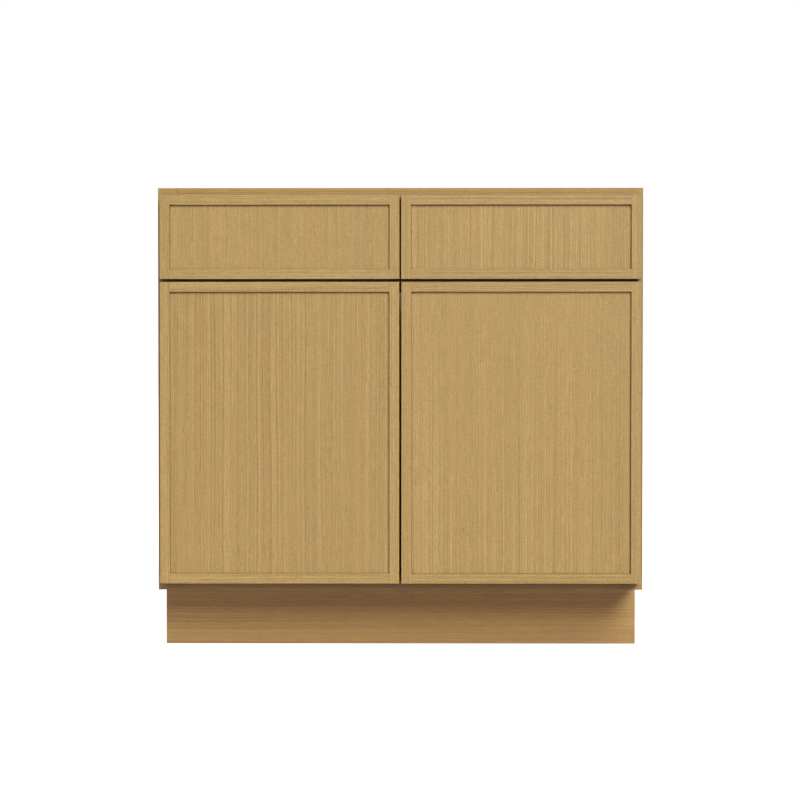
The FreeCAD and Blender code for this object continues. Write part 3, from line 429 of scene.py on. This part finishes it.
def pale_wood(name, along, colours, roughness, plies=None):
    """Birch, maple or beech: close-grained, with faint wide figure and tiny flecks."""
    shader = Shader(name)
    light, dark = colours
    place, piece, coordinates = board_place(shader, along)
    swayed_place = swayed(shader, place, PALE_SWAY_SIZES, PALE_SWAY)
    figure = shader.noise(swayed_place, PALE_FIGURE_SIZES, DETAILED)
    fibres = shader.noise(place, PALE_FIBRE_SIZES, roughness=CRISP)
    flecks = shader.smooth(shader.noise(place, PALE_FLECK_SIZES, PLAIN), PALE_FLECK_EDGE)

    colour = shader.mix(shader.smooth(figure, COARSE), dark, light)
    colour = shader.vary(colour, fibres, PALE_FIBRE_CHANGE, FINE)
    colour = shader.shade(colour, shader.scaled(flecks, -PALE_FLECK_CHANGE, 1.0))
    colour = shader.vary(colour, piece, PALE_PIECE_CHANGE, WHOLE)
    if plies:
        colour = ply_edges(shader, coordinates, plies, colour, dark)
    else:
        colour = darker_ends(shader, coordinates, along, colour, PALE_END_SHADE)
    roughness_range = (roughness, roughness + PALE_ROUGHNESS_RANGE)
    shader.set(Base_Color=colour, Roughness=shader.smooth(fibres, FINE, roughness_range), IOR=WOOD_IOR)
    shader.bump(fibres, PALE_RELIEF)
    return shader.material


# Rolling lines and cloudy plating on the steel
ROLLING_SIZES = (40, 0.35, 0.35)
ROLLING_ROUGHNESS = (-0.04, 0.05)
PLATING_SIZES = (14, 14, 14)
PLATING_SHADES = (0.95, 1.03)
PLATING_ROUGHNESS = (0.03, -0.02)
ROLLING_RELIEF = 0.00001


def plated_steel(name, along, colour, roughness):
    """Plated sheet steel with fine rolling lines and a slightly cloudy plating."""
    shader = Shader(name)
    place = board_place(shader, along)[0]
    lines = shader.noise(place, ROLLING_SIZES, roughness=CRISP)
    clouds = shader.noise(place, PLATING_SIZES, DETAILED, CRISP)
    tint = shader.shade(colour, shader.smooth(clouds, COARSE, PLATING_SHADES))
    line_roughness = shader.smooth(lines, COARSE, ROLLING_ROUGHNESS)
    cloud_roughness = shader.smooth(clouds, COARSE, PLATING_ROUGHNESS)
    uneven = shader.math("ADD", line_roughness, cloud_roughness)
    shader.set(Base_Color=tint, Metallic=1.0, Roughness=shader.math("ADD", uneven, roughness))
    shader.bump(lines, ROLLING_RELIEF)
    return shader.material


# The skin and the faint clouds of moulded plastic
SKIN_SIZES = (0.5, 0.5, 0.5)
SKIN_ROUGHNESS_RANGE = 0.15
CLOUD_SIZES = (9, 9, 9)
CLOUD_CHANGE = 0.08
SKIN_RELIEF = 0.00002


def moulded(name, along, colour, roughness, clearness):
    """Moulded nylon or soft clear plastic with a fine matt skin."""
    shader = Shader(name)
    place = board_place(shader, along)[0]
    skin = shader.noise(place, SKIN_SIZES, DETAILED, CRISP)
    tint = shader.vary(colour, shader.noise(place, CLOUD_SIZES), CLOUD_CHANGE, COARSE)
    roughness_range = (roughness, roughness + SKIN_ROUGHNESS_RANGE)
    shader.set(Base_Color=tint, Roughness=shader.smooth(skin, FINE, roughness_range))
    shader.set(IOR=PLASTIC_IOR, Transmission_Weight=clearness)
    shader.bump(skin, SKIN_RELIEF)
    return shader.material


# The axis that each piece's grain follows, and the axis across a board's plies
GRAIN = {
    "Y": ("drawer_box_left_side", "drawer_box_right_side"),
    "Z": ("side_panel", "stile", "stiles", "mullion", "door_panel", "front_panel", "back_panel"),
}
PLY_AXES = {
    "X": ("side_panel",),
    "Y": ("toe_kick_board", "back_panel", "hanging_rail", "toe_kick_cleat"),
}
FRONT_TO_BACK = "Y"


def axis_of(node, table, usual):
    """The axis that a table gives for a piece by the ending of its name, or the usual one."""
    return next((axis for axis, endings in table.items() if node.endswith(endings)), usual)


def new_finish(slot, along, plies, is_front):
    """One material, for a slot, an axis of the grain and an axis across the plies."""
    name = f"{slot}_{along.lower()}"
    if slot == "oak_solid":
        return oak(name, along, is_front, is_solid=True)
    if slot == "oak_veneer":
        return oak(name, along, is_front, is_solid=False, plies=None if is_front else plies)
    if slot in PALE_WOODS:
        return pale_wood(name, along, *PALE_WOODS[slot], plies if slot == "birch_ply" else None)
    if slot in METALS:
        return plated_steel(name, FRONT_TO_BACK, *METALS[slot])
    return moulded(name, FRONT_TO_BACK, *PLASTICS[slot])


made = {}


def finish_for(node, slot):
    """The material of one piece, made once for all the pieces that share it."""
    is_front = "_door_" in node or "_drawer_front_" in node
    key = (slot, axis_of(node, GRAIN, "X"), axis_of(node, PLY_AXES, "Z"), is_front)
    if key not in made:
        made[key] = new_finish(*key)
    return made[key]


for part in frame["record"]["subparts"]:
    shown = nodes[part["node"]]
    shown.data.materials.clear()
    shown.data.materials.append(finish_for(part["node"], part["material_slot"]))


# Edges sharper and longer than this are eased by a small rounded bevel
SHARP_ANGLE = math.radians(35)
LONG_EDGE = 0.004
WOOD_EASE = 0.0004
STEEL_EASE = 0.00015
EASE_SEGMENTS = 2
WELD_DISTANCE = 0.000002


def eased_edges(name):
    """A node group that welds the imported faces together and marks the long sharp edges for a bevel."""
    group = bpy.data.node_groups.new(name, "GeometryNodeTree")
    group.interface.new_socket("Mesh", in_out="INPUT", socket_type="NodeSocketGeometry")
    group.interface.new_socket("Mesh", in_out="OUTPUT", socket_type="NodeSocketGeometry")
    add = group.nodes.new
    link = group.links.new
    weld = add("GeometryNodeMergeByDistance")
    weld.inputs["Distance"].default_value = WELD_DISTANCE
    link(add("NodeGroupInput").outputs[0], weld.inputs["Geometry"])

    angle = add("GeometryNodeInputMeshEdgeAngle").outputs["Unsigned Angle"]
    sharp = add("FunctionNodeCompare")
    link(angle, sharp.inputs["A"])
    sharp.inputs["B"].default_value = SHARP_ANGLE
    ends = add("GeometryNodeInputMeshEdgeVertices")
    span = add("ShaderNodeVectorMath")
    span.operation = "DISTANCE"
    link(ends.outputs["Position 1"], span.inputs[0])
    link(ends.outputs["Position 2"], span.inputs[1])
    long = add("FunctionNodeCompare")
    link(span.outputs["Value"], long.inputs["A"])
    long.inputs["B"].default_value = LONG_EDGE
    both = add("FunctionNodeBooleanMath")
    link(sharp.outputs[0], both.inputs[0])
    link(long.outputs[0], both.inputs[1])

    smooth = add("GeometryNodeSetMeshNormal")
    link(weld.outputs[0], smooth.inputs["Mesh"])
    smooth.inputs["Remove Custom"].default_value = True
    link(sharp.outputs[0], smooth.inputs["Edge Sharpness"])
    store = add("GeometryNodeStoreNamedAttribute")
    store.data_type = "FLOAT"
    store.domain = "EDGE"
    store.inputs["Name"].default_value = "bevel_weight_edge"
    link(smooth.outputs[0], store.inputs["Geometry"])
    link(both.outputs[0], store.inputs["Value"])
    link(store.outputs[0], add("NodeGroupOutput").inputs[0])
    return group


welder = eased_edges("weld_and_mark_edges")
for part in frame["record"]["subparts"]:
    shown = nodes[part["node"]]
    weld = shown.modifiers.new("weld", "NODES")
    weld.node_group = welder
    bevel = shown.modifiers.new("eased_edges", "BEVEL")
    bevel.width = STEEL_EASE if "steel" in part["material_slot"] else WOOD_EASE
    bevel.segments = EASE_SEGMENTS
    bevel.limit_method = "WEIGHT"
    bevel.harden_normals = True


def for_camera(tree, for_light, for_view):
    """A strength that is one value where light is gathered and another where the backdrop is seen."""
    path = tree.nodes.new("ShaderNodeLightPath")
    chosen = tree.nodes.new("ShaderNodeMapRange")
    chosen.inputs["To Min"].default_value = for_light
    chosen.inputs["To Max"].default_value = for_view
    tree.links.new(path.outputs["Is Camera Ray"], chosen.inputs["Value"])
    return chosen.outputs["Result"]


# A pale floor that fades into the white around it. Its glow is only seen and lights nothing.
FLOOR_RADIUS = 60.0
FLOOR_CORNERS = 96
FLOOR_FOR_LIGHT = (0.66, 0.56, 0.60)
FLOOR_FOR_VIEW = (0.25, 0.25, 0.25)
FLOOR_LIFT = 0.92
FLOOR_ROUGHNESS = 0.9
NO_GLOSS_IOR = 1.0

bpy.ops.mesh.primitive_circle_add(vertices=FLOOR_CORNERS, radius=FLOOR_RADIUS, fill_type="NGON")
floor = bpy.context.object
floor.name = "floor"
floor_look = Shader("pale_floor")
seen = floor_look.add("LightPath").outputs["Is Camera Ray"]
floor_colour = floor_look.mix(seen, FLOOR_FOR_LIGHT, FLOOR_FOR_VIEW)
floor_look.set(Base_Color=floor_colour, Roughness=FLOOR_ROUGHNESS, IOR=NO_GLOSS_IOR)
floor_glow = for_camera(floor_look.tree, 0.0, FLOOR_LIFT)
floor_look.set(Emission_Color=(*PAPER_WHITE, 1.0), Emission_Strength=floor_glow)
floor.data.materials.append(floor_look.material)

# Light: one soft key from the upper right, a wide fill from behind and an even white surround
KEY_AZIMUTH = math.radians(31)
KEY_ELEVATION = math.radians(43)
KEY_SPREAD = math.radians(34)
KEY_STRENGTH = 4.06
FILL_DIRECTION = Vector((-0.45, 0.80, 0.40))
FILL_SPREAD = math.radians(60)
FILL_STRENGTH = 1.9
SURROUND = 0.15
SURROUND_SEEN = 1.0


def sun(name, towards, spread, strength):
    """A distant light that shines from a direction."""
    light = bpy.data.lights.new(name, "SUN")
    light.angle = spread
    light.energy = strength
    lamp = bpy.data.objects.new(name, light)
    lamp.rotation_euler = (-towards).to_track_quat("-Z", "Y").to_euler()
    bpy.context.scene.collection.objects.link(lamp)
    return lamp


towards_key = Vector((
    math.sin(KEY_AZIMUTH) * math.cos(KEY_ELEVATION),
    -math.cos(KEY_AZIMUTH) * math.cos(KEY_ELEVATION),
    math.sin(KEY_ELEVATION),
))
sun("key_light", towards_key, KEY_SPREAD, KEY_STRENGTH)
fill = sun("fill_light", FILL_DIRECTION, FILL_SPREAD, FILL_STRENGTH)
fill.visible_glossy = False

world = bpy.data.worlds.new("surround")
world.use_nodes = True
bpy.context.scene.world = world
background = world.node_tree.nodes["Background"]
background.inputs["Color"].default_value = (*PAPER_WHITE, 1.0)
surround = for_camera(world.node_tree, SURROUND, SURROUND_SEEN)
world.node_tree.links.new(surround, background.inputs["Strength"])

# The camera stands where the photograph's did: straight in front, a little above half height.
# The lens is in millimetres. The camera looks down by its tilt and left by its pan.
CAMERA_LENS = 55.64
CAMERA_PLACE = (0.0126, -2.6278, 0.5052)
CAMERA_TILT = 0.0122
CAMERA_PAN = 0.00565

camera_data = bpy.data.cameras.new("camera")
camera_data.lens = CAMERA_LENS
camera = bpy.data.objects.new("camera", camera_data)
camera.location = CAMERA_PLACE
camera.rotation_euler = (math.radians(90) - CAMERA_TILT, 0.0, CAMERA_PAN)
bpy.context.scene.collection.objects.link(camera)
bpy.context.scene.camera = camera
bpy.context.scene.view_settings.view_transform = "Standard"
